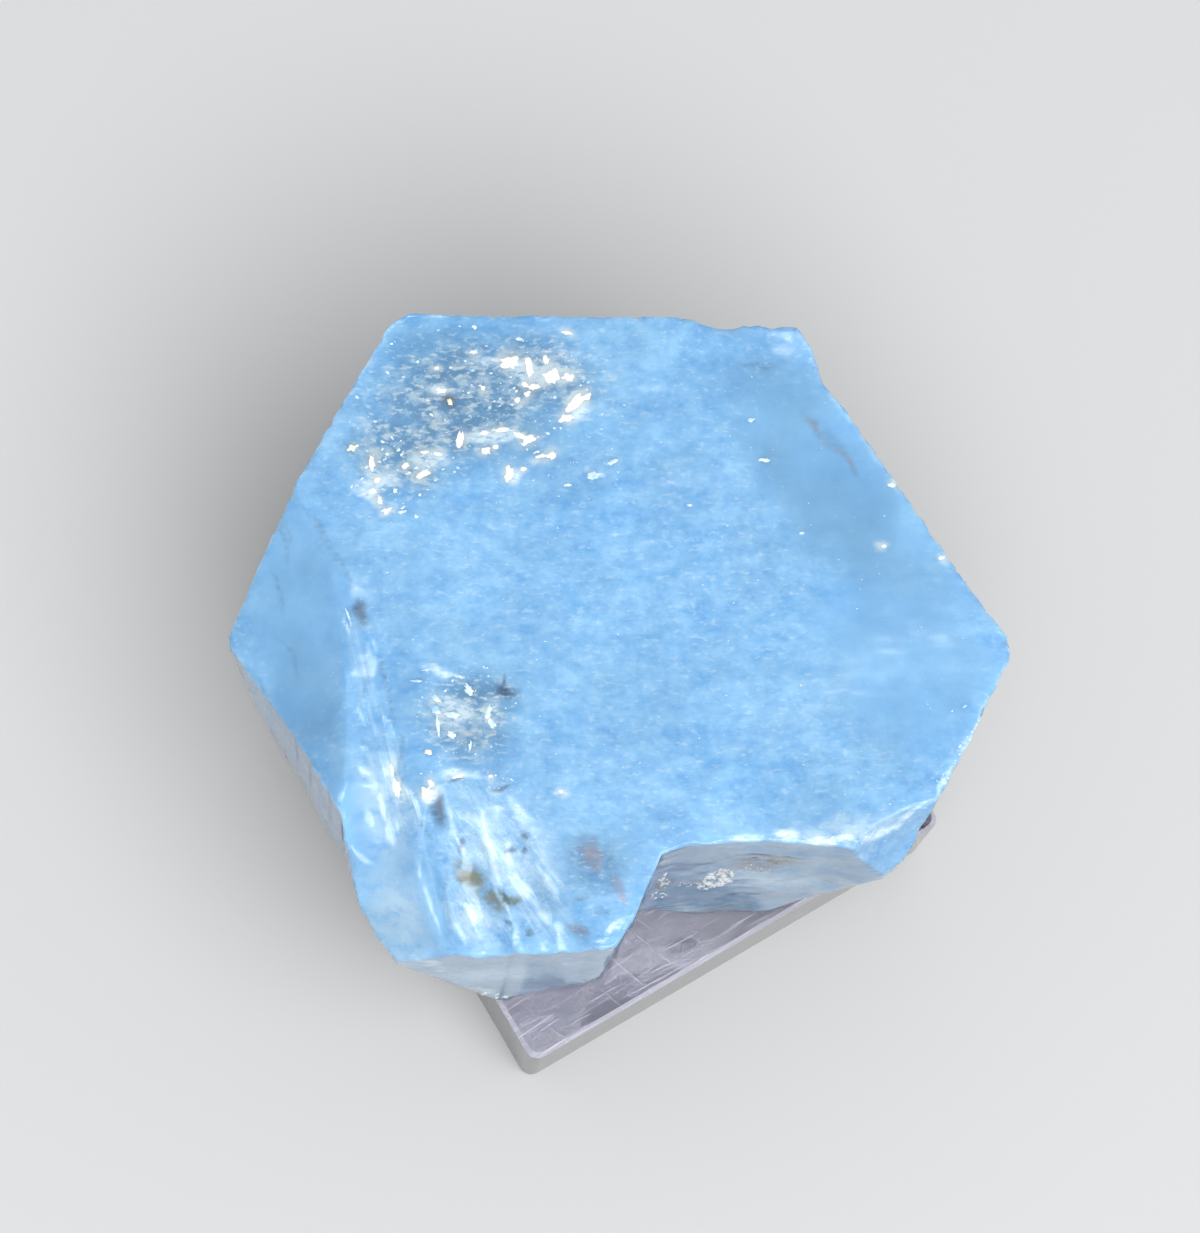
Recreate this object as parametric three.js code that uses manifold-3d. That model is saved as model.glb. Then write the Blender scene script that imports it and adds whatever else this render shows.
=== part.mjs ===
// A short hexagonal aquamarine crystal, broken off its root, on the clear acrylic block it is shown on.
// Millimetres, +Z up. The origin is the centre of the block's underside. X runs along the crystal's back
// prism face, and -Y is the front, where the broken corner is.

import * as THREE from "three";
import { mergeVertices } from "three/addons/utils/BufferGeometryUtils.js";
import Module from "manifold-3d";

const wasm = await Module();
wasm.setup();

// Driving dimensions of the block
const BLOCK_SIDE = 30;
const BLOCK_HEIGHT = 10;
const BLOCK_BEVEL = 0.45;
const BLOCK_CORNER_RADIUS = 0.8;
const BLOCK_TURN = THREE.MathUtils.degToRad(30);

// Driving dimensions of the crystal
const CRYSTAL_HEIGHT = 28;
const BASE_Z = BLOCK_HEIGHT;
const TOP_Z = BASE_Z + CRYSTAL_HEIGHT;
const CUT_MARGIN = 4;

// The plan of the prism, counter-clockwise: six faces with the small bends that each has along its length.
const OUTLINE = [
  [20.8, -0.6],
  [20.8, 0.3],
  [17.9, 4.5],
  [14.7, 9.4],
  [12.0, 13.9],
  [10.5, 15.9],
  [9.9, 17.9],
  [9.1, 19.1],
  [1.5, 19.5],
  [-6.0, 19.5],
  [-13.3, 19.7],
  [-14.6, 18.9],
  [-17.4, 14.1],
  [-20.2, 9.0],
  [-22.2, 5.2],
  [-23.8, 1.7],
  [-23.7, 1.0],
  [-22.9, -0.3],
  [-19.9, -4.8],
  [-17.3, -9.6],
  [-17.1, -11.3],
  [-16.3, -14.1],
  [-15.4, -16.2],
  [-14.3, -17.3],
  [-11.6, -17.4],
  [-5.8, -17.3],
  [-1.0, -17.2],
  [6.5, -17.1],
  [11.4, -16.4],
  [14.9, -11.6],
  [18.3, -5.5],
];

// Shallow grooves that run down the long prism faces.
const GROOVE_WIDTH = 0.5;
const GROOVES_PER_FACE = 4;
const GROOVE_DEPTH = 0.09;

// The broken walls under the rim lean back: with each millimetre of depth they draw away from this point in
// plan, by this share of their distance from it. The plan of those walls is given at LEAN_Z.
const LEAN_FROM = [-16.7, -49.3];
const LEAN_RATE = 0.0042;
const LEAN_Z = 35;

// A repeatable number from 0 to 1 for a lattice point.
function hash(x, y, z) {
  const s = Math.sin(x * 127.1 + y * 311.7 + z * 74.7) * 43758.5453;
  return s - Math.floor(s);
}

function ease(t) {
  return t * t * (3 - 2 * t);
}

// Smooth noise from -1 to 1, with one bump about every unit.
function noise(x, y, z) {
  const [i, j, k] = [Math.floor(x), Math.floor(y), Math.floor(z)];
  const [u, v, w] = [ease(x - i), ease(y - j), ease(z - k)];
  let sum = 0;
  for (const a of [0, 1])
    for (const b of [0, 1])
      for (const c of [0, 1]) {
        const weight = (a ? u : 1 - u) * (b ? v : 1 - v) * (c ? w : 1 - w);
        sum += weight * hash(i + a, j + b, k + c);
      }
  return 2 * sum - 1;
}

// A closed geometry as a solid.
function solidOf(geometry) {
  const bare = new THREE.BufferGeometry();
  const flat = geometry.index ? geometry.toNonIndexed() : geometry;
  bare.setAttribute("position", flat.getAttribute("position"));
  const merged = mergeVertices(bare, 1e-4);
  return new wasm.Manifold(
    new wasm.Mesh({
      numProp: 3,
      vertProperties: new Float32Array(merged.attributes.position.array),
      triVerts: new Uint32Array(merged.index.array),
    }),
  );
}

function geometryOf(solid) {
  const mesh = solid.getMesh();
  const geometry = new THREE.BufferGeometry();
  geometry.setAttribute("position", new THREE.BufferAttribute(mesh.vertProperties, 3));
  geometry.setIndex(new THREE.BufferAttribute(mesh.triVerts, 1));
  geometry.computeVertexNormals();
  return geometry;
}

// Moves every point by noise, so that a cut leaves a broken surface. Points that share a place move together.
function roughen(geometry, amount, bump) {
  const place = geometry.getAttribute("position");
  for (let i = 0; i < place.count; i++) {
    const [x, y, z] = [place.getX(i), place.getY(i), place.getZ(i)];
    const [p, q, r] = [x / bump, y / bump, z / bump];
    place.setXYZ(
      i,
      x + amount * noise(p + 11, q, r),
      y + amount * noise(p, q + 23, r),
      z + amount * noise(p, q, r + 37),
    );
  }
  return geometry;
}

// An ellipsoid that scoops out a shell-shaped break. turn is about Z, in degrees.
function scoop({ at, radii, facet = 1.5, rough = 0.12, bump = 2.2, turn = 0 }) {
  const detail = Math.max(3, Math.round(Math.max(...radii) / facet) - 1);
  const ball = new THREE.IcosahedronGeometry(1, detail);
  ball.scale(...radii);
  ball.rotateZ(THREE.MathUtils.degToRad(turn));
  ball.translate(...at);
  return solidOf(roughen(ball, rough, bump));
}

// A shallow dish in the top: an ellipsoid that meets the top plane in an ellipse with the half widths given,
// and is depth deep in its middle. bowl runs from 0, a soft edge, to 1, an upright one.
function dish({ at, half, depth, bowl = 0.73, ...rest }) {
  const rise = depth / (1 - Math.sqrt(1 - bowl * bowl));
  return scoop({
    at: [...at, TOP_Z + rise - depth],
    radii: [half[0] / bowl, half[1] / bowl, rise],
    ...rest,
  });
}

// A broken wall: a plan outline cut through the whole height, leaning back by rate.
function wallCut({ plan, rate = 0, rough = 0.2, bump = 2.4, layers = 22 }) {
  const shape = new THREE.Shape(plan.map(([x, y]) => new THREE.Vector2(x, y)));
  const depth = CRYSTAL_HEIGHT + 2 * CUT_MARGIN;
  const body = new THREE.ExtrudeGeometry(shape, { depth, steps: layers, bevelEnabled: false });
  body.translate(0, 0, BASE_Z - CUT_MARGIN);
  const place = body.getAttribute("position");
  for (let i = 0; i < place.count; i++) {
    const shift = rate * (LEAN_Z - place.getZ(i));
    place.setX(i, place.getX(i) + shift * (place.getX(i) - LEAN_FROM[0]));
    place.setY(i, place.getY(i) + shift * (place.getY(i) - LEAN_FROM[1]));
  }
  return solidOf(roughen(body, rough, bump));
}

// Points along a polyline, close enough together to carry a rough wall.
function spaced(points, step) {
  const out = [];
  points.slice(0, -1).forEach(([x, y], i) => {
    const [nx, ny] = points[i + 1];
    const parts = Math.max(1, Math.round(Math.hypot(nx - x, ny - y) / step));
    for (let k = 0; k < parts; k++) out.push([x + ((nx - x) * k) / parts, y + ((ny - y) * k) / parts]);
  });
  out.push(points.at(-1));
  return out;
}

// The prism's plan, with a few grooves cut into each long face.
function groovedOutline() {
  const out = [];
  OUTLINE.forEach(([x, y], i) => {
    const [nx, ny] = OUTLINE[(i + 1) % OUTLINE.length];
    const length = Math.hypot(nx - x, ny - y);
    const [ux, uy] = [(nx - x) / length, (ny - y) / length];
    out.push([x, y]);
    if (length < 3) return;
    for (let k = 0; k < GROOVES_PER_FACE; k++) {
      const along = (length * (k + 0.35 + 0.5 * hash(i, k, 1))) / GROOVES_PER_FACE;
      const deep = GROOVE_DEPTH * (0.4 + hash(i, k, 2));
      const ends = [along - GROOVE_WIDTH / 2, along + GROOVE_WIDTH / 2];
      if (ends[1] > length - 0.2) continue;
      out.push([x + ux * ends[0], y + uy * ends[0]]);
      out.push([x + ux * ends[1] - uy * deep, y + uy * ends[1] + ux * deep]);
    }
  });
  return out;
}

function prism() {
  const shape = new THREE.Shape(groovedOutline().map(([x, y]) => new THREE.Vector2(x, y)));
  const body = new THREE.ExtrudeGeometry(shape, { depth: CRYSTAL_HEIGHT, bevelEnabled: false });
  body.translate(0, 0, BASE_Z);
  return solidOf(body);
}

// The breaks in the top, from the left round to the back right.
function topBreaks() {
  return [
    // the wide smooth facet that falls away to the left
    dish({ at: [-29.2, -3], half: [12.8, 17.5], depth: 5.8, rough: 0.05, bump: 4 }),
    // the worn band beside it, and the scalloped step at its lower end
    dish({ at: [-15.6, -3.4], half: [2.6, 7.2], depth: 0.9, bowl: 0.9, rough: 0.14, bump: 1.4, facet: 0.6, turn: 8 }),
    dish({ at: [-15.4, -10.6], half: [2.2, 3.4], depth: 1.7, bowl: 0.8, rough: 0.1, bump: 1.2, facet: 0.5, turn: 14 }),
    // the smooth slope down to the front left corner
    dish({ at: [-17.8, -20.4], half: [7.4, 9.4], depth: 6.4, rough: 0.1, bump: 2.6, facet: 0.9 }),
    // the ribbed hollow in front, where the stains are
    dish({ at: [-9.6, -16.4], half: [2.6, 8.6], depth: 2.3, bowl: 0.6, rough: 0.2, bump: 1.3, facet: 0.6, turn: 12 }),
    dish({ at: [-6.6, -15.6], half: [1.7, 6.9], depth: 1.7, bowl: 0.7, rough: 0.16, bump: 1.1, facet: 0.5, turn: 20 }),
    dish({ at: [-4.6, -17.6], half: [1.6, 4.6], depth: 1.3, bowl: 0.7, rough: 0.12, bump: 1, facet: 0.5, turn: 24 }),
    // the sloping break between the front rim and the right end of the broken wall
    dish({ at: [16.6, -14.6], half: [6.6, 5.6], depth: 7, bowl: 0.8, rough: 0.1, bump: 1.8, facet: 0.8, turn: 28 }),
    // the soft trough that comes in from the back right corner
    dish({ at: [9.4, 13.6], half: [4.2, 9.4], depth: 1.3, bowl: 0.5, rough: 0.05, bump: 3, turn: 24 }),
    // the small chip on the ridge
    dish({ at: [-16.5, 1.8], half: [0.9, 1.6], depth: 0.6, rough: 0.05, bump: 1, facet: 0.3, turn: 20 }),
    // the bite in the back edge, right of the middle
    dish({ at: [5.4, 20.4], half: [1.2, 1.5], depth: 3, bowl: 0.9, rough: 0.05, bump: 1, facet: 0.4 }),
  ];
}

// Wide low hollows that keep the top from being a true plane.
function topWaves() {
  return [
    dish({ at: [2, 2], half: [15, 9], depth: 0.3, bowl: 0.4, rough: 0, facet: 3, turn: -8 }),
    dish({ at: [-7, 12], half: [10, 5.5], depth: 0.35, bowl: 0.4, rough: 0, facet: 3, turn: 6 }),
    dish({ at: [11, -4], half: [8, 6], depth: 0.3, bowl: 0.4, rough: 0, facet: 3, turn: 30 }),
  ];
}

// The corner that is missing at the front right: a wall as tall as the crystal, set back from the front face.
const CORNER_WALL = [
  [-2.6, -22],
  [-1.9, -17.6],
  [-0.7, -14.9],
  [0.6, -11.9],
  [1.9, -11.4],
  [6.6, -11.1],
  [10.4, -11.4],
  [13.1, -12.2],
  [14.7, -12.7],
  [24, -13.5],
];

function cornerBreak() {
  return wallCut({ plan: [...spaced(CORNER_WALL, 1.1), [24, -26], [-2.6, -26]], rough: 0.16 });
}

// Where the crystal broke off its root, the walls in front are cut away from below along this line.
const ROOT_LINE = [
  [-32, 2.4],
  [-23.8, 0.9],
  [-22.6, -1.9],
  [-19.7, -7.0],
  [-18.0, -9.9],
  [-17.1, -11.1],
  [-16.3, -14.0],
  [-15.4, -16.1],
  [-14.2, -17.6],
  [-13.0, -18.1],
  [-11.7, -18.5],
  [-10.1, -19.1],
  [-8.4, -19.7],
  [-7.3, -19.4],
  [-5.0, -18.9],
  [-3.7, -18.8],
  [-2.7, -18.4],
  [-1.6, -16.4],
  [-0.4, -14.5],
  [3.0, -14.8],
  [6.4, -14.7],
  [8.8, -14.0],
  [11.6, -13.2],
  [13.4, -12.8],
  [16.0, -10.9],
  [21.6, -2.6],
  [30, -2.6],
];

function rootBreak() {
  const line = spaced(ROOT_LINE, 1.2);
  return wallCut({ plan: [...line, [30, -34], [-32, -34]], rate: LEAN_RATE, rough: 0.13 });
}

// The broken underside: it stands on a patch in the middle and rises to every side.
function undersideBreaks() {
  return [
    scoop({ at: [-33, -4, BASE_Z - 9], radii: [21, 33, 22], rough: 0.3, bump: 3 }),
    scoop({ at: [-20, 24, BASE_Z - 12], radii: [24, 17, 19], rough: 0.35, bump: 3, turn: 30 }),
    scoop({ at: [10, 29, BASE_Z - 10], radii: [24, 18, 18], rough: 0.35, bump: 3, turn: -25 }),
    scoop({ at: [28, -2, BASE_Z - 9], radii: [17, 26, 22], rough: 0.35, bump: 3 }),
    scoop({ at: [21, -20, BASE_Z - 1], radii: [13, 12, 17], rough: 0.25, bump: 2.4 }),
    scoop({ at: [-25, -22, BASE_Z - 2], radii: [15.5, 14, 22], rough: 0.3, bump: 2.6 }),
    scoop({ at: [-2, -27, BASE_Z - 4], radii: [9, 13, 11], rough: 0.25, bump: 2.4 }),
  ];
}

// Small chips along the rim of the top.
const CHIP_STEP = 2.1;
const CHIP_SHARE = 0.45;
const CHIP_SIZE = [0.25, 0.75];

function rimChips() {
  const rim = spaced([...OUTLINE, OUTLINE[0]], CHIP_STEP);
  return rim.flatMap(([x, y], i) => {
    if (hash(i, 5, 9) > CHIP_SHARE) return [];
    const size = THREE.MathUtils.lerp(...CHIP_SIZE, hash(i, 1, 4) ** 2);
    const out = 1 + (0.55 * size) / Math.hypot(x, y);
    const chip = new THREE.IcosahedronGeometry(size, 1);
    chip.scale(1, 1, 0.8 + hash(i, 2, 4));
    chip.rotateZ(6 * hash(i, 3, 4));
    chip.translate(x * out, y * out, TOP_Z + size * (0.6 - hash(i, 6, 4)));
    return [solidOf(chip)];
  });
}

function crystal() {
  const cuts = [...topWaves(), ...topBreaks(), cornerBreak(), rootBreak(), ...undersideBreaks(), ...rimChips()];
  const cut = cuts.reduce((left, cutter) => left.subtract(cutter), prism());
  const largest = cut.decompose().sort((a, b) => b.volume() - a.volume())[0];
  const mesh = new THREE.Mesh(
    geometryOf(largest.simplify(0.03)),
    new THREE.MeshStandardMaterial({ color: 0x8ac2f2, roughness: 0.3, metalness: 0 }),
  );
  mesh.name = "aquamarine_crystal";
  return mesh;
}

function acrylicBlock() {
  const half = BLOCK_SIDE / 2 - BLOCK_BEVEL;
  const r = BLOCK_CORNER_RADIUS;
  const plan = new THREE.Shape();
  plan.moveTo(half, -half + r);
  [
    [half, half],
    [-half, half],
    [-half, -half],
    [half, -half],
  ].forEach(([x, y], i) => {
    const start = (i * Math.PI) / 2;
    plan.absarc(x - Math.sign(x) * r, y - Math.sign(y) * r, r, start, start + Math.PI / 2, false);
  });
  const body = new THREE.ExtrudeGeometry(plan, {
    depth: BLOCK_HEIGHT - 2 * BLOCK_BEVEL,
    bevelSize: BLOCK_BEVEL,
    bevelThickness: BLOCK_BEVEL,
    bevelSegments: 1,
    curveSegments: 5,
  });
  body.translate(0, 0, BLOCK_BEVEL);
  body.rotateZ(BLOCK_TURN);
  const mesh = new THREE.Mesh(
    body,
    new THREE.MeshStandardMaterial({ color: 0xf2f6f8, roughness: 0.05, metalness: 0 }),
  );
  mesh.name = "acrylic_block";
  return mesh;
}

const specimen = new THREE.Group();
specimen.add(acrylicBlock(), crystal());

export default specimen;
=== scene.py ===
# %% [markdown]
# # A pale blue crystal on a clear block
# The specimen is a short, broken prism of aquamarine, the blue kind of the mineral beryl, fixed on the small
# clear acrylic block that dealers show such stones on. The solids come ready from the frame, in metres and in
# their final places. This lesson gives them what a solid model lacks: worn edges, grooves, ripples, milk and
# cracks inside the stone, polish and scratches on the block, light and a camera.

# %% Load the frame
import math
import random

import bmesh
import bpy
import numpy as np
from mathutils import Matrix, Vector, noise
from mathutils.bvhtree import BVHTree


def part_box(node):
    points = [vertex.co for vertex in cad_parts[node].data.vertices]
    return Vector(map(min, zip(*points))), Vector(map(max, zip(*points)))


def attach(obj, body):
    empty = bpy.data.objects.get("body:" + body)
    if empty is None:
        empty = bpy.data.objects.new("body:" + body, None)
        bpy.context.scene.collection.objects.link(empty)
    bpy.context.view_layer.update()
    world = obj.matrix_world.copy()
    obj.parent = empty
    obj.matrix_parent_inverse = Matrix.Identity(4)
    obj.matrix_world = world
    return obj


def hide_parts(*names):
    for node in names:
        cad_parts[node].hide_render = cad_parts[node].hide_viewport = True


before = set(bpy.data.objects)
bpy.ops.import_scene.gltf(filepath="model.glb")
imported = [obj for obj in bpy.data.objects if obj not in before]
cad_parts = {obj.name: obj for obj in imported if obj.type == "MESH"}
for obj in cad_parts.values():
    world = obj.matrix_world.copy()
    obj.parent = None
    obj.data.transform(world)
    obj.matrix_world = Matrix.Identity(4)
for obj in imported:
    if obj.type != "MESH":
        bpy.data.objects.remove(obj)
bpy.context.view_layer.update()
MM = 0.001

# %% [markdown]
# ## Camera
# A camera is a place, three directions and a lens. The picture was taken almost straight down on the stone's
# flat end, a little from the front and from about 24 cm away. Blender's camera looks along its own -Z, so the
# columns of its matrix are the picture's right, the picture's up and the way back to the lens.

# %% Place the camera
PHOTO_SIZE = (1200, 1233)
PHOTO_FOCAL = 4224
SENSOR = 36
CAMERA_AT = Vector((-16.65, -49.27, 272.09)) * MM
CAMERA_RIGHT = Vector((0.9983, -0.0124, 0.057)).normalized()
CAMERA_BACK = CAMERA_RIGHT.cross(Vector((0, 0.9771, 0.213))).normalized()
CAMERA_UP = CAMERA_BACK.cross(CAMERA_RIGHT)


def linked(name, data):
    """A new object with this data, in the scene."""
    piece = bpy.data.objects.new(name, data)
    bpy.context.scene.collection.objects.link(piece)
    return piece


def place_camera():
    camera = linked("camera", bpy.data.cameras.new("camera"))
    turn = Matrix((CAMERA_RIGHT, CAMERA_UP, CAMERA_BACK)).transposed().to_4x4()
    camera.matrix_world = Matrix.Translation(CAMERA_AT) @ turn
    camera.data.sensor_width = SENSOR
    camera.data.lens = SENSOR * PHOTO_FOCAL / max(PHOTO_SIZE)
    camera.data.clip_start = 10 * MM
    bpy.context.scene.camera = camera
    return camera


camera = place_camera()
print("camera:", round(camera.data.lens, 1), "mm lens,", round(CAMERA_AT.length / MM), "mm from the origin")

# %% [markdown]
# ## Finding a place on the stone
# Many marks have a place of their own on this stone. The place is given as the pixel where the picture shows
# it, and a ray from the camera through that pixel finds the point on the stone. The other way round, each
# point of the stone has its pixel. Both are used only while the pieces are made: what they give is then a
# real place in millimetres, which stays on the stone from every side.

# %% Go from pixels to points and back
def surface_of(piece):
    """A tree of the piece's faces that rays can be cast on."""
    return BVHTree.FromObject(piece, bpy.context.evaluated_depsgraph_get())


def seen_at(tree, x, y):
    """The point and the normal where the camera sees that pixel, or None beside the stone."""
    right, up = x - PHOTO_SIZE[0] / 2, PHOTO_SIZE[1] / 2 - y
    ray = CAMERA_RIGHT * right / PHOTO_FOCAL + CAMERA_UP * up / PHOTO_FOCAL - CAMERA_BACK
    point, normal, _, _ = tree.ray_cast(CAMERA_AT, ray.normalized())
    return (point, normal) if point else None


def picture_of(points):
    """Each point's pixel across and down, and its depth from the camera in metres, in columns."""
    off = np.asarray(points) - np.array(CAMERA_AT)
    right, up, back = (off @ np.array(axis) for axis in (CAMERA_RIGHT, CAMERA_UP, CAMERA_BACK))
    across = PHOTO_SIZE[0] / 2 + PHOTO_FOCAL * right / -back
    down = PHOTO_SIZE[1] / 2 - PHOTO_FOCAL * up / -back
    return np.column_stack([across, down, -back])


solid_tree = surface_of(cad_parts["aquamarine_crystal"])
middle = seen_at(solid_tree, 620, 620)[0]
print("the picture's middle falls on", [round(c / MM, 1) for c in middle], "mm")
print("and that point's pixel is", [round(float(c)) for c in picture_of([middle])[0][:2]])

# %% [markdown]
# ## The crystal's mesh
# The frame's solid has the right faces, breaks and chips, but its cut surfaces are made of a few thousand flat
# triangles. A real break is finer than that. The mesh is rebuilt in small even squares by a voxel remesh, the
# squares that face up, where most of the detail is, are cut in four, and then all are shrinkwrapped back on
# the solid, so that nothing moves. The step between two squares softens every edge by a tenth of a
# millimetre, as wear does.

# %% Rebuild the crystal's mesh
VOXEL = 0.29 * MM
FINE_ABOVE = 16 * MM
FACES_UP = 0.35


def with_modifier(piece, kind, **settings):
    """Applies one modifier to the piece."""
    modifier = piece.modifiers.new(kind.lower(), kind)
    for name, value in settings.items():
        setattr(modifier, name, value)
    made = bpy.data.meshes.new_from_object(piece.evaluated_get(bpy.context.evaluated_depsgraph_get()))
    piece.modifiers.clear()
    piece.data = made


def quarter_faces(mesh):
    """Cuts the faces of the upper part that face up in four."""
    work = bmesh.new()
    work.from_mesh(mesh)
    upper = [f for f in work.faces if f.normal.z > FACES_UP and f.calc_center_median().z > FINE_ABOVE]
    edges = list({edge for face in upper for edge in face.edges})
    bmesh.ops.subdivide_edges(work, edges=edges, cuts=1, use_grid_fill=True)
    work.to_mesh(mesh)
    work.free()


def rebuilt(node, name):
    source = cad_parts[node]
    piece = linked(name, source.data.copy())
    with_modifier(piece, "WELD", merge_threshold=1e-6)
    with_modifier(piece, "REMESH", mode="VOXEL", voxel_size=VOXEL)
    quarter_faces(piece.data)
    with_modifier(piece, "SHRINKWRAP", target=source, wrap_method="NEAREST_SURFACEPOINT")
    piece.data.name = name
    return piece


crystal = rebuilt("aquamarine_crystal", "aquamarine")
print("crystal:", len(crystal.data.polygons), "faces after the remesh")

# %% [markdown]
# ## Marks on the stone
# Each mark is a soft oval: the pixel of its middle, its two half sizes in pixels, and how far it is turned
# counter-clockwise. A list of ovals, bent a little by noise so that none looks drawn, makes one layer, and a
# layer is a number from 0 to 1 on each point of the mesh. The first layers are the places where the stone
# is broken in its own way: a band of splinters beside the smooth left break, and steps with veins in front.

# %% Lay soft ovals on the mesh
MARK_DEPTH = 6 * MM
WIDE_BEND = 7.0
FINE_BEND = 3.0
RIDGE_MARKS = [
    (362, 660, 44, 15, -78), (372, 690, 50, 19, -76), (384, 750, 60, 26, -78), (400, 812, 50, 24, -72),
    (424, 880, 60, 18, -72), (442, 930, 30, 14, -80),
]
VEIN_MARKS = [
    (478, 812, 44, 40, -50), (500, 868, 80, 62, -52), (540, 895, 62, 34, -60), (478, 915, 48, 36, -40),
]
CLEAR_MARKS = [
    (455, 400, 125, 80, 8), (400, 450, 70, 62, 0), (540, 375, 90, 52, -8), (468, 720, 62, 62, 0),
    (500, 694, 26, 20, 0),
]


def vertex_places(piece):
    places = np.empty(len(piece.data.vertices) * 3)
    piece.data.vertices.foreach_get("co", places)
    return places.reshape(-1, 3)


def wobble(places, per_mm, seed):
    """Two columns of noise from -1 to 1 for bending what is drawn on the places."""
    shifts = (Vector((seed, 0, 0)), Vector((0, seed, 50)))
    spots = [Vector(place) * (per_mm / MM) for place in places]
    return np.array([[noise.noise(spot + shift) for shift in shifts] for spot in spots])


class Layers:
    """Layers of soft ovals on the points of one mesh."""

    def __init__(self, piece):
        places = vertex_places(piece)
        self.picture = picture_of(places)
        self.picture[:, :2] += WIDE_BEND * wobble(places, 0.5, 3) + FINE_BEND * wobble(places, 1.6, 8)

    def ovals(self, marks):
        """How deep each point lies in the deepest of the marks: 0 outside, 1 at a mark's middle."""
        deepest = np.zeros(len(self.picture))
        for x, y, half_long, half_wide, turn in marks:
            depth = picture_of([seen_at(solid_tree, x, y)[0]])[0][2]
            across, up = self.picture[:, 0] - x, y - self.picture[:, 1]
            cos, sin = math.cos(math.radians(turn)), math.sin(math.radians(turn))
            along, beside = (across * cos + up * sin) / half_long, (up * cos - across * sin) / half_wide
            far = np.sqrt(along ** 2 + beside ** 2 + ((self.picture[:, 2] - depth) / MARK_DEPTH) ** 2)
            deepest = np.maximum(deepest, 1 - far)
        return deepest


def eased(values, low, high):
    """0 below low, 1 above high and a smooth slope between, for a number or for many."""
    t = np.clip((values - low) / (high - low), 0, 1)
    return t * t * (3 - 2 * t)


layers = Layers(crystal)
ridge = eased(layers.ovals(RIDGE_MARKS), 0.0, 0.4)
veins = eased(layers.ovals(VEIN_MARKS), 0.0, 0.4)
clear = eased(layers.ovals(CLEAR_MARKS), 0.0, 0.75)
print("points in the ridge, veins and clear part:", [int((l > 0.5).sum()) for l in (ridge, veins, clear)])

# %% [markdown]
# ## Soft borders
# Some of the breaks end in a border that years of wear have blurred away. Each point there is moved to the
# middle of its neighbours, over and over, which melts an edge and leaves a smooth face as it is. An edge
# list is enough for this: each edge tells both of its ends where the other one is.

# %% Melt the borders
SOFT_MARKS = [
    (722, 355, 50, 26, -85), (735, 420, 56, 28, -72), (765, 475, 50, 28, -50), (815, 522, 60, 28, -35),
    (318, 535, 60, 18, -60), (384, 618, 62, 26, -62), (412, 712, 76, 24, -80), (424, 800, 70, 24, -90),
    (388, 800, 60, 16, -80), (560, 880, 80, 16, -62), (382, 866, 54, 20, -20), (414, 846, 70, 22, -82),
    (352, 622, 60, 24, -78), (426, 905, 70, 16, -78),
]
SOFT_ROUNDS = 90


class Neighbours:
    """Means over the points that share an edge with each point of a mesh."""

    def __init__(self, mesh):
        ends = np.empty(len(mesh.edges) * 2, dtype=int)
        mesh.edges.foreach_get("vertices", ends)
        self.a, self.b = ends.reshape(-1, 2).T
        self.total = len(mesh.vertices)
        self.count = np.bincount(self.a, minlength=self.total) + np.bincount(self.b, minlength=self.total)

    def mean(self, values):
        if values.ndim == 2:
            return np.column_stack([self.mean(column) for column in values.T])
        both = np.bincount(self.a, values[self.b], self.total) + np.bincount(self.b, values[self.a], self.total)
        return both / self.count


neighbours = Neighbours(crystal.data)
softness = eased(layers.ovals(SOFT_MARKS), 0.0, 0.5)[:, None]
places = vertex_places(crystal)
before = places.copy()
for _ in range(SOFT_ROUNDS):
    places += softness * (neighbours.mean(places) - places)
crystal.data.vertices.foreach_set("co", places.ravel())
crystal.data.update()
print("largest move while melting:", round(float(np.abs(places - before).max()) / MM, 2), "mm")

# %% [markdown]
# ## Grooves, ripples and splinters
# Beryl's prism faces carry fine straight grooves along the crystal, its flat end has low uneven growth, and its
# broken places are shell-shaped, with ripples that run out from where the blow fell. Where it broke against
# the grain it is left in long splinters. Each is a formula of the point and of its normal, in
# millimetres, worked out for every point of the mesh, which is then pushed along its normal.

# %% Write the formulas
BLOW_POINTS = (Vector((-27, 9, 40)), Vector((-3, -19, 22)), Vector((19, -17, 35)), Vector((14, 12, 10)))
RIDGE_TURN = math.radians(-76)
VEIN_TURN = math.radians(-54)


def bumps(point, per_mm, seed=0.0):
    """Noise from -1 to 1, with per_mm lumps a millimetre along each axis."""
    return noise.noise(Vector([p * k + seed for p, k in zip(point, per_mm)]))


def growth(p):
    """The flat end: low swells, and faint streaks along X."""
    swell = 0.07 * bumps(p, (0.14, 0.2, 0.1)) + 0.03 * bumps(p, (0.6, 0.8, 0.6), 7)
    streak = 0.018 * bumps(p, (0.3, 1.7, 0.3), 3) + 0.012 * bumps(p, (1.6, 1.9, 1.6), 5)
    return swell + streak


def grooves(p, normal):
    """The prism faces: straight grooves along Z, placed by the way round the prism."""
    face = round(math.atan2(normal.y, normal.x) / (math.pi / 3) - 0.5) + 0.5
    angle = face * math.pi / 3
    around = p.y * math.cos(angle) - p.x * math.sin(angle)
    line = Vector((around, p.z, 5 * face))
    wide = 0.09 * bumps(line, (0.55, 0.012, 1))
    fine = 0.05 * bumps(line, (1.7, 0.03, 1), 4) + 0.015 * bumps(line, (0.9, 0.3, 1), 9)
    return wide + fine


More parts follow.
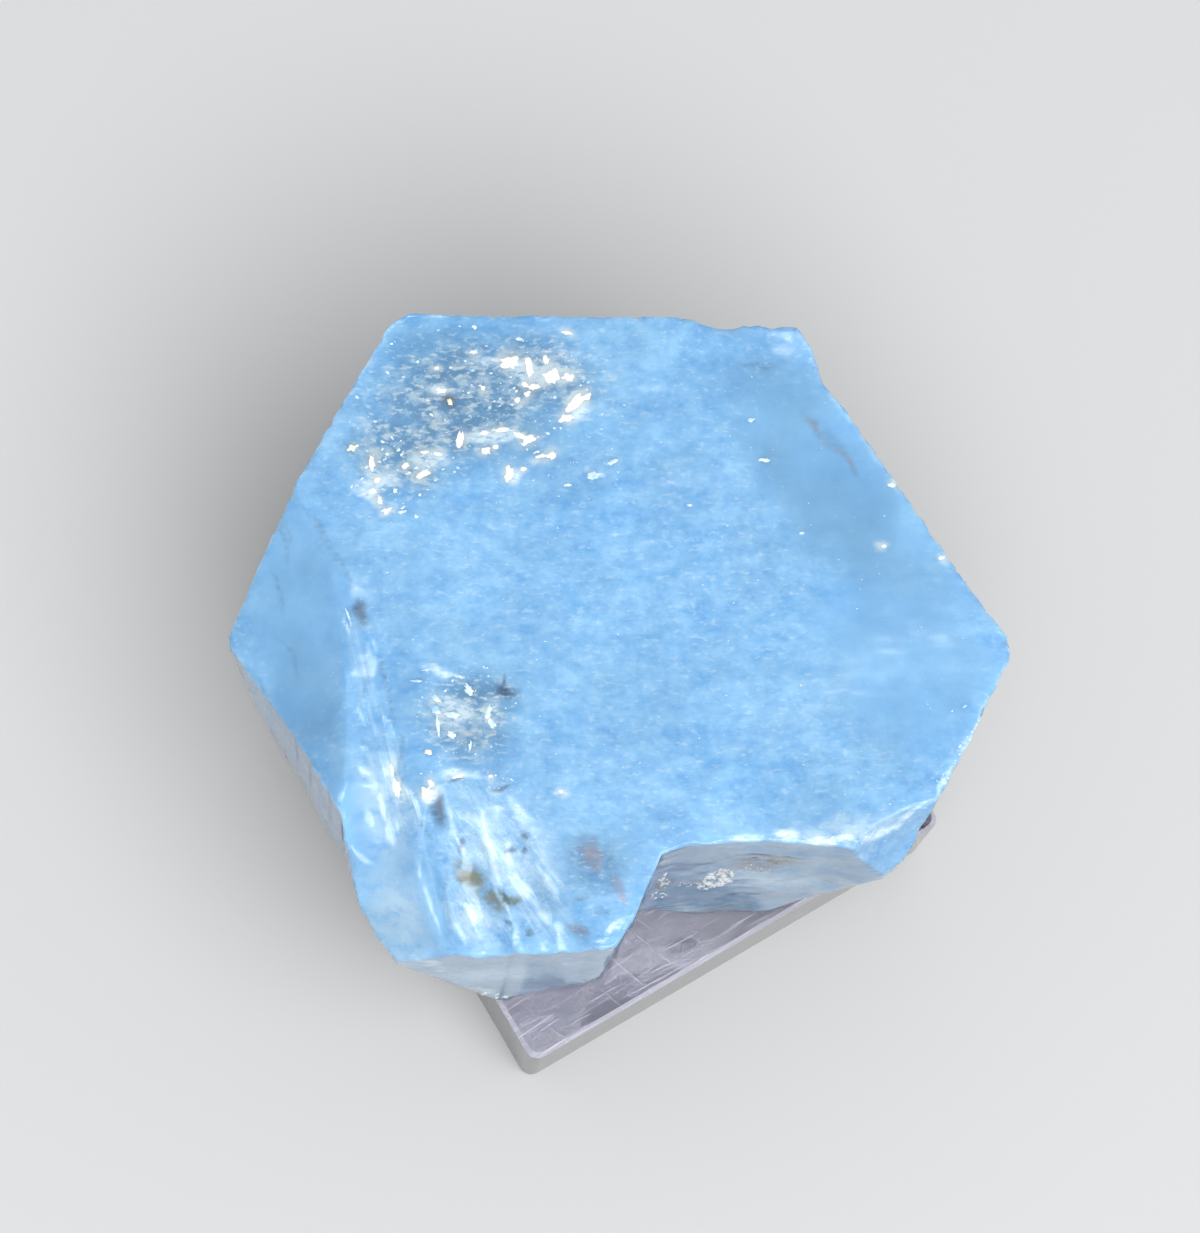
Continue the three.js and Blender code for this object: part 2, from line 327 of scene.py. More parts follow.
def ripples(p):
    """The breaks: rings round the nearest blow, and low noise."""
    reach = min((p - blow).length + 1.2 * bumps(p, (0.2, 0.2, 0.2), i) for i, blow in enumerate(BLOW_POINTS))
    rings = 0.03 * math.sin(4.2 * reach ** 0.9) * (0.5 + 0.8 * bumps(p, (0.25, 0.25, 0.25), 2))
    rough = 0.06 * bumps(p, (0.45, 0.45, 0.45), 1) + 0.02 * bumps(p, (1.2, 1.2, 1.2), 6)
    return rings + rough


def splinters(p, turn, seed):
    """Long sharp crests along one direction, about one each 0.8 mm."""
    along, across = p.x * math.cos(turn) + p.y * math.sin(turn), p.y * math.cos(turn) - p.x * math.sin(turn)
    line = Vector((along, across + 0.9 * bumps(p, (0.3, 0.3, 0.3), seed), p.z))
    broad = 0.3 - abs(bumps(line, (0.13, 0.6, 0.1), seed))
    thin = bumps(line, (0.35, 1.9, 0.2), seed + 5)
    return 0.30 * broad + 0.07 * thin


def in_notch(p):
    """Whether the point lies on the broken walls of the re-entrant corner at the front right."""
    return p.x > -3 and p.y <= -10.5 and p.y + 0.2 * p.x >= -16.9


def relief(p, normal):
    """The height for the kind of face that the point lies on."""
    flat_end = eased(normal.z, 0.97, 0.995)
    upright = 0 if in_notch(p) else eased(abs(normal.z), 0.12, 0.04)
    broken = max(0, 1 - flat_end - upright)
    return flat_end * growth(p) + upright * grooves(p, normal) + broken * ripples(p)


print("height on the flat end:", round(float(relief(middle / MM, Vector((0, 0, 1)))), 3), "mm")

# %% [markdown]
# ## Moving the points
# Every point of the mesh goes out or in by its height, and by a splinter's height where the ridge and the
# veins are. Close to the block the height fades to nothing, and a narrow gap is kept there, so that the
# stone stands on the block without running into it.

# %% Push the points
BASE_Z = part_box("acrylic_block")[1].z / MM
BLOCK_GAP = 0.04 * MM
FADE_FROM = 0.05
FADE_TO = 0.8


def push_points(piece):
    mesh = piece.data
    places = [vertex.co.copy() for vertex in mesh.vertices]
    normals = [vertex.normal.copy() for vertex in mesh.vertices]
    moved = []
    for place, normal, on_ridge, on_veins in zip(places, normals, ridge, veins):
        p = place / MM
        height = relief(p, normal)
        if on_ridge > 0:
            height += on_ridge * splinters(p, RIDGE_TURN, 2)
        if on_veins > 0:
            height += on_veins * (1 - 0.7 * on_ridge) * splinters(p, VEIN_TURN, 6)
        place += normal * height * eased(p.z, BASE_Z + FADE_FROM, BASE_Z + FADE_TO) * MM
        place.z = max(place.z, BASE_Z * MM + BLOCK_GAP)
        moved.extend(place)
    mesh.vertices.foreach_set("co", moved)
    mesh.shade_smooth()
    mesh.update()


push_points(crystal)
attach(crystal, "root")
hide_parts("aquamarine_crystal")
crystal_tree = surface_of(crystal)
print("crystal: relief done, top at", round(vertex_places(crystal)[:, 2].max() / MM, 2), "mm")

# %% [markdown]
# ## Worn edges and painted edge highlights
# An edge of a stone is where it chips first, and chipped beryl is white. The same pale line also paints the
# highlight that a sharp rim catches. How far each point stands out from the middle of its neighbours, along its
# own normal and set against the mean step to them, says how sharp the edge is there. Averaged twice with the
# neighbours, it gives an even line along every edge.

# %% Measure the edges
def edge_layer(piece):
    mesh = piece.data
    places = vertex_places(piece)
    normals = np.array([vertex.normal[:] for vertex in mesh.vertices])
    middle = neighbours.mean(places)
    length = np.linalg.norm(places[neighbours.a] - places[neighbours.b], axis=1)
    spacing = np.bincount(neighbours.a, length, len(places)) + np.bincount(neighbours.b, length, len(places))
    sharp = ((places - middle) * normals).sum(axis=1) * neighbours.count / spacing
    for _ in range(2):
        sharp = 0.4 * sharp + 0.6 * neighbours.mean(sharp)
    return eased(sharp, 0.05, 0.2)


CALM_MARKS = [
    (348, 660, 200, 42, -82), (320, 540, 80, 34, -60), (400, 880, 130, 70, -72), (500, 870, 120, 110, -50),
    (634, 905, 110, 40, -62), (490, 952, 120, 20, -3),
]
# the pale line along the edges is partly chipped wear and partly a painted highlight on the rims
wear = edge_layer(crystal) * (1 - 0.85 * eased(layers.ovals(CALM_MARKS), 0.0, 0.3))
print("worn points:", int((wear > 0.5).sum()), "of", len(wear))

# %% [markdown]
# ## Light and dark marks
# The other layers only colour the stone. Glow is painted highlight: whiter colour where cracks just under the
# surface throw light back, and painted sheen on the ridge and along the rims. Shade and cracks are small
# dark places, dim and pale are wide ones that are darker or whiter than the rest, the milk is even where it is
# smooth, and olive is an iron stain. Brown is iron stain, and in the hollow at the front a painted warm
# reflection. Each large flash has a painted halo of light, an oval about twice as large round it.

# %% Place the colour marks
# painted highlights: whiter colour where cracks throw light back, and sheen on the ridge and along the rims
GLOW_MARKS = [
    # the sparkling corner
    (540, 374, 52, 17, -4), (577, 408, 20, 15, 30), (495, 436, 46, 10, 0), (512, 474, 12, 11, 0),
    (376, 480, 18, 32, -70), (430, 462, 28, 14, 0), (596, 476, 12, 8, 10), (441, 391, 12, 8, 0),
    # the second nest of cracks
    (452, 712, 32, 22, 0), (488, 716, 14, 20, 0), (455, 776, 18, 8, 0), (440, 672, 34, 6, -8),
    # the ridge
    (348, 622, 14, 3, -72), (366, 718, 12, 4, -75), (388, 726, 18, 4, -74), (392, 776, 38, 13, -82),
    (366, 774, 15, 6, -45), (382, 802, 20, 4, -80), (410, 800, 30, 6, -74), (392, 828, 22, 9, -80),
    (427, 792, 12, 10, 0),
    # the veins
    (519, 810, 28, 7, -50), (474, 822, 24, 11, -40), (495, 846, 26, 7, -50), (547, 875, 36, 10, -62),
    (524, 891, 34, 5, -55), (468, 908, 26, 5, -45), (552, 922, 22, 8, -35), (456, 934, 14, 6, -60),
    (514, 933, 14, 7, 80),
    # the rim over the re-entrant corner, and the right edge
    (745, 839, 26, 5, 0), (786, 836, 20, 8, -4), (830, 840, 36, 6, 0), (880, 832, 34, 7, 18),
    (914, 812, 26, 6, 38), (947, 782, 26, 5, 52), (972, 735, 28, 5, 60), (687, 906, 30, 5, -4),
    # the bottom rim
    (430, 965, 26, 6, -22), (478, 990, 34, 6, -14), (565, 964, 8, 3, 0), (610, 930, 26, 5, 30),
]
SHADE_MARKS = [
    (505, 694, 18, 9, 0), (503, 680, 9, 2.5, 88), (458, 783, 10, 3, 12), (501, 787, 13, 3, 0),
    (438, 810, 22, 10, -78), (459, 875, 11, 5, -12), (523, 839, 7, 6, 0), (523, 855, 6, 5, 0),
    (510, 850, 6, 4, 0), (501, 893, 12, 4, -60), (531, 930, 6, 5, 0), (508, 919, 8, 4, -30),
    (463, 848, 10, 5, 75), (361, 612, 20, 8, -68), (439, 808, 28, 13, -78),
]
CRACK_MARKS = [
    (382, 674, 22, 6, -72), (391, 698, 34, 3.5, -75), (400, 762, 44, 3.5, -88), (406, 806, 32, 3.5, -62),
    (420, 832, 26, 3.5, -58), (585, 899, 20, 3.5, 0), (600, 917, 11, 5, 0), (579, 929, 14, 6, -25),
    (445, 905, 56, 5, -86), (284, 535, 40, 4, -80), (276, 590, 36, 4, -74), (290, 655, 34, 4, -58),
    (316, 525, 42, 4, -58), (340, 565, 34, 4, -62), (262, 688, 40, 5, -52), (298, 740, 46, 5, -54),
    (814, 424, 28, 7, -52), (838, 448, 24, 9, -48), (853, 470, 18, 6, -58), (364, 676, 40, 4, -86),
    # the last mark is no crack: it darkens a wide round patch over the hollow at the front
    (757, 366, 26, 5, -8), (596, 864, 40, 40, 0),
]
DIM_MARKS = [
    (776, 384, 84, 56, -20), (840, 500, 190, 74, -54), (690, 850, 30, 18, 0), (598, 864, 60, 58, 0),
    (360, 612, 30, 14, -68), (420, 345, 80, 40, 0), (480, 400, 150, 100, 0), (500, 690, 60, 40, 0),
    (300, 700, 120, 46, -74), (762, 378, 70, 44, -15), (832, 444, 56, 18, -50),
]
PALE_MARKS = [
    (398, 915, 90, 54, -80), (505, 865, 110, 80, -52), (385, 820, 100, 44, -82), (850, 830, 110, 22, 6),
    (500, 975, 90, 24, 0), (475, 920, 60, 44, -40), (760, 880, 110, 34, 0),
]
SMOOTH_MARKS = [
    (840, 490, 210, 90, -54), (900, 650, 150, 110, -60), (300, 620, 190, 80, -80), (400, 900, 110, 60, -65),
    (350, 810, 60, 40, -60),
]
OLIVE_MARKS = [
    (471, 873, 28, 15, -35), (487, 898, 30, 14, -40), (509, 898, 18, 9, -20), (764, 862, 50, 13, 4),
    (663, 884, 10, 9, 0), (450, 404, 12, 8, 0),
]
BROWN_STAIN_AND_REFLECTION_MARKS = [
    # the first two marks paint a warm reflection in the hollow at the front; the others are iron stains
    (592, 856, 14, 26, 0), (619, 890, 20, 10, -55), (822, 434, 36, 4, -52),
    (493, 862, 13, 6, -50), (486, 850, 16, 5, -75), (463, 848, 9, 6, 75), (688, 884, 12, 5, 0),
    (440, 800, 14, 6, -70), (492, 901, 12, 5, -40), (580, 930, 14, 6, -25), (848, 463, 20, 4, -56),
]

FLASHES = [
    # middle, half sizes and turn of each large flash
    (511, 362, 10, 7, 10), (529, 368, 11, 3.5, -80), (551, 376, 8, 8, 0), (546, 360, 5, 3.5, -70),
    (569, 377, 7, 3.6, -5), (575, 403, 12, 5.5, 38), (566, 418, 8, 4.6, 5), (586, 397, 6, 3.5, 30),
    (534, 387, 6, 3, 10), (525, 385, 3.6, 3, 0), (527, 394, 4, 2.8, 20), (517, 400, 4, 3, 30),
    (460, 439, 8, 4, 80), (484, 433, 5, 2.4, 10), (503, 430, 11, 2.4, 0), (520, 435, 8, 2.6, -20),
    (528, 440, 8, 4.6, 25), (486, 451, 5, 3.6, 0), (496, 447, 3, 2, 0), (509, 473, 8, 4.6, 75),
    (523, 469, 3.4, 2, 10), (552, 455, 5, 4, 30), (542, 456, 6, 1.8, 12), (424, 474, 7.5, 3.4, 28),
    (438, 454, 4.5, 2.4, -10), (425, 452, 4.5, 2, 0), (405, 466, 3.6, 3.4, 0), (372, 462, 8, 2.8, -85),
    (380, 500, 5, 2.8, -70), (373, 491, 4, 3, 0), (387, 510, 6, 2, 20), (474, 352, 4.5, 2, 8),
    (441, 391, 5, 3, 0), (437, 368, 3, 2.4, 0), (483, 388, 3, 2.4, -40), (567, 333, 7, 1.8, -12),
    (426, 793, 6.5, 6, 0), (431, 783, 5, 2.6, -65), (397, 789, 10, 3.6, -80), (392, 770, 6, 2.2, -85),
    (458, 776, 6, 2.4, 15), (491, 776, 2.4, 2, 0), (561, 792, 3, 2.4, 0), (662, 864, 3, 3, 0),
    (784, 834, 5, 1.8, 20), (892, 485, 4, 2.2, -10), (942, 558, 3.4, 2.2, 0), (884, 546, 3, 1.8, 0),
]
# painted halos of light, which whiten the stone round each large flash
HALO_MARKS = [(x, y, 1.9 * long + 4, 1.9 * wide + 4, turn) for x, y, long, wide, turn in FLASHES]
print("marks that glow:", len(GLOW_MARKS), "large flashes:", len(FLASHES))

# %% [markdown]
# ## Keeping the layers on the mesh
# Each layer is kept on the mesh as an attribute, one number for each point, and a material reads it with an
# Attribute node. The high value of a layer says how deep in an oval the layer becomes full: the greater it
# is, the softer is the mark. One more layer holds how upright the surface is, for the polish of the sides.

# %% Store the layers
def store(piece, name, values):
    attribute = piece.data.attributes.new(name, "FLOAT", "POINT")
    attribute.data.foreach_set("value", np.ascontiguousarray(values, dtype=np.float32))


def marked(marks, high=0.7):
    """The layer of the marks: 0 outside them, 1 where a point lies deeper than high in one."""
    return eased(layers.ovals(marks), 0.0, high)


steepness = np.abs([vertex.normal.z for vertex in crystal.data.vertices])
store(crystal, "upright", eased(steepness, 0.25, 0.08))
store(crystal, "ridge", ridge)
store(crystal, "veins", veins)
store(crystal, "clear", clear)
store(crystal, "wear", wear)
store(crystal, "glow", marked(GLOW_MARKS))
store(crystal, "shade", marked(SHADE_MARKS))
store(crystal, "cracks", marked(CRACK_MARKS))
store(crystal, "dim", marked(DIM_MARKS, high=0.8))
store(crystal, "smooth", marked(SMOOTH_MARKS, high=0.6))
store(crystal, "pale", marked(PALE_MARKS, high=1.0))
store(crystal, "halos", marked(HALO_MARKS, high=1.0))
store(crystal, "olive", marked(OLIVE_MARKS))
store(crystal, "brown", marked(BROWN_STAIN_AND_REFLECTION_MARKS))
print("layers on the crystal:", [a.name for a in crystal.data.attributes if a.data_type == "FLOAT"])

# %% [markdown]
# ## Shader sums
# A material is a graph of nodes. Written out in full, a sum such as `1 - mask` takes four lines. One small
# class holds an output socket and lets Python's own operators add the Math nodes, so that the recipes
# below read as the sums that they are. A vector's sums go through Vector Math, and colours through Mix.

# %% Define the socket class
class Wire:
    """An output socket of a shader node that can be used in sums."""

    def __init__(self, socket):
        self.socket = socket

    @staticmethod
    def add(tree, kind, settings=None, sockets=None, out=0):
        """Adds a node: its settings first, then the values or wires of its sockets."""
        node = tree.nodes.new(kind)
        for name, value in (settings or {}).items():
            setattr(node, name, value)
        for key, value in (sockets or {}).items():
            if isinstance(value, Wire):
                tree.links.new(value.socket, node.inputs[key])
            else:
                node.inputs[key].default_value = value
        return Wire(node.outputs[out])

    def node(self, kind, settings=None, sockets=None, out=0):
        return Wire.add(self.socket.id_data, kind, settings, sockets, out)

    def sum(self, operation, first, second):
        flat = self.socket.type != "VECTOR"
        kind = "ShaderNodeMath" if flat else "ShaderNodeVectorMath"
        return self.node(kind, {"operation": operation}, {0: first, 1: second})

    def __add__(self, other):
        return self.sum("ADD", self, other)

    def __radd__(self, other):
        return self.sum("ADD", other, self)

    def __sub__(self, other):
        return self.sum("SUBTRACT", self, other)

    def __rsub__(self, other):
        return self.sum("SUBTRACT", other, self)

    def __mul__(self, other):
        return self.sum("MULTIPLY", self, other)

    def __rmul__(self, other):
        return self.sum("MULTIPLY", other, self)

    def step(self, low, high):
        """0 below low, 1 above high, and an eased slope between. low may be the greater."""
        settings = {"interpolation_type": "SMOOTHSTEP"}
        return self.node("ShaderNodeMapRange", settings, {0: self, 1: low, 2: high, 3: 0.0, 4: 1.0})

    def clamped(self):
        return self.node("ShaderNodeClamp", None, {0: self, 1: 0.0, 2: 1.0})

    def colour(self, low, high):
        """From the colour low at 0 to the colour high at 1. Each is three numbers or a wire."""
        low, high = (c if isinstance(c, Wire) else (*c, 1.0) for c in (low, high))
        return self.node("ShaderNodeMix", {"data_type": "RGBA"}, {0: self, 6: low, 7: high}, out=2)

    def turned(self, angle):
        """The place in axes that are turned about Z by the angle."""
        sockets = {"Vector": self, "Rotation": (0, 0, -angle)}
        return self.node("ShaderNodeMapping", {"vector_type": "POINT"}, sockets)


print("a wire can do:", [name for name in vars(Wire) if not name.startswith("_")])

# %% [markdown]
# ## Recipes that every material uses
# Noise is measured in lumps per millimetre, so that its size on the piece can be read from the numbers. A
# layer comes from the mesh by its name. Each material starts from the place of the point that is shaded,
# in millimetres, and ends in an output that takes its surface and, for the stone, its inside.

# %% Define the recipes
def cloud(place, stretch, detail=3.0, rough=0.5, twist=0.0):
    """Noise from 0 to 1 with about `stretch` lumps per millimetre along each axis."""
    sockets = {"Vector": place * stretch, "Scale": 1.0}
    sockets |= {"Detail": detail, "Roughness": rough, "Distortion": twist}
    return place.node("ShaderNodeTexNoise", {"noise_dimensions": "3D"}, sockets)


def layer(place, name):
    return place.node("ShaderNodeAttribute", {"attribute_name": name}, None, out="Fac")


def new_material(name):
    """An empty material, its tree, and the place of each point in millimetres."""
    material = bpy.data.materials.new(name)
    material.use_nodes = True
    tree = material.node_tree
    tree.nodes.clear()
    place = Wire.add(tree, "ShaderNodeTexCoord", None, None, out="Object") * (1 / MM, 1 / MM, 1 / MM)
    return material, tree, place


def finish_material(tree, surface, volume=None):
    sockets = {"Surface": surface} if volume is None else {"Surface": surface, "Volume": volume}
    output = tree.nodes.new("ShaderNodeOutputMaterial")
    for name, wire in sockets.items():
        tree.links.new(wire.socket, output.inputs[name])


print("recipes:", [recipe.__name__ for recipe in (cloud, layer, new_material, finish_material)])

# %% [markdown]
# ## The stone's colour
# Aquamarine is a clear pale blue, but this stone is full of fine cracks and bubbles that scatter light, so
# most of it looks like frozen milk. Soft noise makes the milk uneven, finer noise stretched along X makes the
# short pale flecks, and the layers add the rest: dark and clear first, then stains and a painted warm
# reflection, and the light ones last, since a bright spot hides what lies under it. The light ones are partly
# white cracks and veins, and partly painted light: glints, sparkle haze, sheen on the ridge and the rims,
# and halos round the flashes.

# %% Mix the stone's colour
DEEP_BLUE = (0.17, 0.45, 0.84)
PALE_BLUE = (0.36, 0.69, 1.0)
CLEAR_BLUE = (0.15, 0.36, 0.60)
SHADE_BLUE = (0.10, 0.16, 0.24)
# the white of the milk's cracks, and also of the painted glints, sheen and halos
MILK_AND_HIGHLIGHT_WHITE = (0.74, 0.92, 1.0)
OLIVE_STAIN = (0.17, 0.18, 0.09)
BROWN_STAIN_AND_WARM_REFLECTION = (0.36, 0.25, 0.24)


def stone_colour(place, fine):
    clouds = cloud(place, (0.16, 0.2, 0.16), detail=3.0)
    mottles = cloud(place, (0.8, 1.1, 0.9), detail=5.0, rough=0.66)
    flecks = cloud(place, (2.0, 4.0, 3.0), detail=2.0, rough=0.5)
    ridge, veins, clear, wear = (layer(place, name) for name in ("ridge", "veins", "clear", "wear"))
    glow, shade, olive, brown = (layer(place, name) for name in ("glow", "shade", "olive", "brown"))
    cracks, dim, smooth, pale = (layer(place, name) for name in ("cracks", "dim", "smooth", "pale"))
    milk = 0.5 + 1.1 * (clouds - 0.5) + (2.3 - 1.7 * smooth) * (mottles - 0.5)
    milk = milk + (0.8 - 0.6 * smooth) * (fine - 0.5)
    blue = milk.clamped().colour(DEEP_BLUE, PALE_BLUE)
    # darker towards the grey blue where the stone is clear and in the wide dim marks
    clear_and_dim = 0.42 * clear * mottles.step(0.62, 0.38) + 0.42 * dim
    blue = clear_and_dim.clamped().colour(blue, CLEAR_BLUE)
    ridge_lines = cloud(place.turned(RIDGE_TURN), (0.2, 2.6, 0.5), detail=4.0, rough=0.65, twist=0.3)
    vein_lines = cloud(place.turned(VEIN_TURN), (0.3, 1.5, 0.5), detail=4.0, rough=0.6, twist=0.8)
    dark_lines = ridge * ridge_lines.step(0.44, 0.32) + veins * vein_lines.step(0.42, 0.30)
    thin = cracks * (0.35 + 0.65 * fine.step(0.62, 0.38)) * (1 - 0.4 * smooth)
    darkness = 0.16 * dark_lines + 0.75 * shade * fine.step(0.25, 0.55) + 0.4 * thin
    colour = darkness.clamped().colour(blue, SHADE_BLUE)
    blotch = mottles.step(0.36, 0.58)
    colour = (0.95 * olive * blotch).clamped().colour(colour, OLIVE_STAIN)
    colour = (brown * (0.1 + 0.42 * blotch)).clamped().colour(colour, BROWN_STAIN_AND_WARM_REFLECTION)
    ridge_sheen_and_vein_lines = ridge * ridge_lines.step(0.48, 0.66) + veins * vein_lines.step(0.50, 0.68)
    outlines = veins * vein_lines.step(0.45, 0.49) * vein_lines.step(0.53, 0.49)
    curls = clear * mottles.step(0.50, 0.54) * mottles.step(0.58, 0.54)
    lined = ridge * ridge_lines.step(0.40, 0.60) + veins * vein_lines.step(0.40, 0.62)
    ragged = lined + (1 - ridge - veins).clamped() * fine.step(0.3, 0.6)
    # painted light: the sparkle haze, the glow, the sheen lines on the ridge, the edge highlights and the halos
    # whiten the colour
    sparkle_haze = clear * (0.65 * mottles.step(0.54, 0.64) + 0.6 * flecks.step(0.52, 0.64) + 0.4 * curls)
    white = 0.3 * (1 - smooth) * flecks.step(0.56, 0.72) + glow * (0.75 - 0.2 * veins) * ragged
    white = white + 0.2 * ridge_sheen_and_vein_lines + sparkle_haze + 0.3 * outlines + 0.3 * wear * mottles.step(0.4, 0.6)
    white = (white + 0.55 * pale * mottles.step(0.2, 0.6)) * (1 - 0.8 * olive - 0.5 * shade)
    white = white + 0.9 * layer(place, "halos") * fine.step(0.2, 0.5)
    return white.clamped().colour(colour, MILK_AND_HIGHLIGHT_WHITE)


print("the milk goes from", DEEP_BLUE, "to", PALE_BLUE, "and its cracks to", MILK_AND_HIGHLIGHT_WHITE)

# %% [markdown]
# ## The stone's material
# Two shaders are mixed. One is clear beryl, with an index of refraction of 1.577 and light absorbed on its way
# through. The other is the milk, which scatters light just under the surface. The milk takes four fifths
# of the stone, and less of the clear corner and of the glossy upright faces. Noise makes it uneven.

# %% Make the stone's material
BERYL_IOR = 1.577
GLASSY_BLUE = (0.62, 0.84, 1.0)
ABSORB_COLOUR = (0.42, 0.76, 0.98)
ABSORB_DENSITY = 60.0
MILK_DEPTH = 1.6 * MM
MILK_SHARE = 0.82


def stone_material():
    material, tree, place = new_material("milky_beryl")
    fine = cloud(place, (2.0, 3.6, 2.6), detail=4.0, rough=0.62)
    colour = stone_colour(place, fine)
    bump = place.node("ShaderNodeBump", None, {"Strength": 0.12, "Distance": 0.06 * MM, "Height": fine})
    upright = layer(place, "upright")
    rough = 0.24 - 0.12 * upright + 0.2 * (fine - 0.5)
    milky = Wire.add(tree, "ShaderNodeBsdfPrincipled", {"subsurface_method": "BURLEY"}, {
        "Base Color": colour,
        "Roughness": rough,
        "IOR": BERYL_IOR,
        "Subsurface Weight": 1.0,
        "Subsurface Radius": (0.85, 0.93, 1.0),
        "Subsurface Scale": MILK_DEPTH,
        "Normal": bump,
    })
    glassy = Wire.add(tree, "ShaderNodeBsdfPrincipled", None, {
        "Base Color": (*GLASSY_BLUE, 1.0),
        "Roughness": rough * 0.6,
        "IOR": BERYL_IOR,
        "Transmission Weight": 1.0,
        "Normal": bump,
    })
    haze = cloud(place, (0.3, 0.3, 0.3), detail=2.0)
    open_parts = 0.22 * layer(place, "clear") + 0.15 * layer(place, "shade") - 0.2 * layer(place, "glow")
    glossy_sides = 0.28 * upright * (1 - layer(place, "pale"))
    milkiness = (MILK_SHARE + 0.3 * (haze - 0.5) - open_parts - glossy_sides).clamped()
    surface = Wire.add(tree, "ShaderNodeMixShader", None, {0: milkiness, 1: glassy, 2: milky})
    absorption = {"Color": (*ABSORB_COLOUR, 1.0), "Density": ABSORB_DENSITY}
    inside = Wire.add(tree, "ShaderNodeVolumeAbsorption", None, absorption)
    finish_material(tree, surface, inside)
    return material


crystal.data.materials.clear()
crystal.data.materials.append(stone_material())
print("stone material:", len(crystal.data.materials[0].node_tree.nodes), "nodes")

# %% [markdown]
# ## Flashes
# Here and there a crack inside the stone lies just so that it throws the light straight back, and shows as a
# small white spot with a ragged outline. These glints are painted: each is a thin closed leaf, white or warm
# in its own colour, so that it shows bright from every side. The large ones are placed one by one, the small
# ones are scattered with a fixed seed where the stone is clear and along its rims, and tiny ones all over.
# Each leaf's rim lies in the stone's surface, because the mesh has no points fine enough for them.

# %% Place the flashes
PALE_FLASHES = [
    (436, 699, 6, 3, -32), (436, 710, 5, 4, 0), (438, 727, 10, 2, -85), (452, 715, 8, 3, -8),
    (469, 690, 7, 3.6, -60), (452, 735, 5, 3.4, -40), (488, 712, 8, 3, 75), (492, 723, 6, 3.4, -50),
    (470, 747, 6, 1.8, 85), (430, 669, 8, 1.6, 12), (460, 677, 6, 1.6, -15), (417, 681, 6, 1.3, 0),
    (349, 618, 9, 1.4, -70), (519, 339, 4, 2, 0), (829, 841, 2.2, 1.4, 0), (802, 841, 4, 1.4, 0),
    (751, 871, 3, 2, 0), (965, 706, 3, 1.6, 40), (970, 738, 3.4, 1.6, 40), (565, 964, 6, 1.4, 0),
    (751, 420, 3, 2, 0), (764, 460, 7, 1.8, -5), (690, 505, 3, 1.6, 0), (802, 533, 3, 1.8, 0),
    (568, 485, 4, 1.6, 10), (594, 476, 8, 4, 8), (613, 462, 6, 2.2, 20), (856, 841, 3.4, 1.6, 0),
]
WARM_FLASHES = [
    (352, 448, 5, 3.4, 10), (377, 480, 4, 3, 0), (367, 365, 4, 3.4, 0), (428, 752, 4, 2.8, -20),
    (450, 402, 4, 2.6, -40), (357, 446, 3, 1.8, 20),
]
SCATTER = [
    # middle, half sizes and turn of the part, number of flashes, largest half size
    ((455, 400, 135, 75, 8), 110, 2.6),
    ((395, 480, 45, 45, 0), 60, 2.9),
    ((545, 410, 80, 75, 0), 50, 2.2),
    ((465, 715, 52, 55, 0), 50, 1.9),
    ((455, 765, 40, 25, 0), 22, 1.7),
    ((505, 780, 24, 12, 0), 22, 1.7),
    ((650, 600, 330, 300, 0), 260, 1.3),
    ((820, 838, 70, 7, 0), 40, 2.0),
    ((952, 770, 50, 12, 55), 26, 1.8),
]
dice = random.Random(11)


def scattered(part, count, largest):
    """Small marks at random places in an oval, long along X more often than not."""
    x, y, half_long, half_wide, turn = part
    cos, sin = math.cos(math.radians(turn)), math.sin(math.radians(turn))
    found = []
    for _ in range(count):
        angle, reach = dice.uniform(0, math.tau), math.sqrt(dice.random())
        along, beside = reach * half_long * math.cos(angle), reach * half_wide * math.sin(angle)
        size = largest * (0.3 + 0.7 * dice.random() ** 2)
        spot = (x + along * cos - beside * sin, y - along * sin - beside * cos)
        found.append((*spot, size, size * dice.uniform(0.35, 0.8), dice.gauss(8, 28)))
    return found


small_marks = [mark for part, count, largest in SCATTER for mark in scattered(part, count, largest)]
print("small flashes:", len(small_marks))

# %% [markdown]
# ## Leaves
# A leaf has four rings: its middle, a flat top, a ragged rim in the surface and a point under it. Each ring's
# points are found by rays from the camera, so the leaf follows the stone. A leaf that would reach past the
# stone's outline, or on to a face that is upright or turned down, is left out.

# %% Build the leaves
LEAF_RINGS = ((0, 0.03), (0.62, 0.03), (1, 0.005), (0, -0.08))
RIM_POINTS = 17
SMALL_RIM_POINTS = 8
SMALL_LEAF = 4
LEAST_UPWARD = 0.1


def leaf_rings(mark):
    """The rings of one ragged leaf where the camera sees the mark, or None if it can't lie there."""
    x, y, half_long, half_wide, turn = mark
    cos, sin = math.cos(math.radians(turn)), math.sin(math.radians(turn))
    count = SMALL_RIM_POINTS if half_long < SMALL_LEAF else RIM_POINTS
    ragged = [dice.uniform(0.6, 1.25) for _ in range(count)]
    rings = []
    for share, lift in LEAF_RINGS:
        ring = []
        for k, reach in enumerate(ragged if share else ragged[:1]):
            angle = math.tau * k / count
            along = share * reach * half_long * math.cos(angle)
            beside = share * reach * half_wide * math.sin(angle)
            found = seen_at(crystal_tree, x + along * cos - beside * sin, y - along * sin - beside * cos)
            if found is None or found[1].z < LEAST_UPWARD:
                return None
            ring.append(found[0] + found[1] * lift * MM)
        rings.append(ring)
    return rings


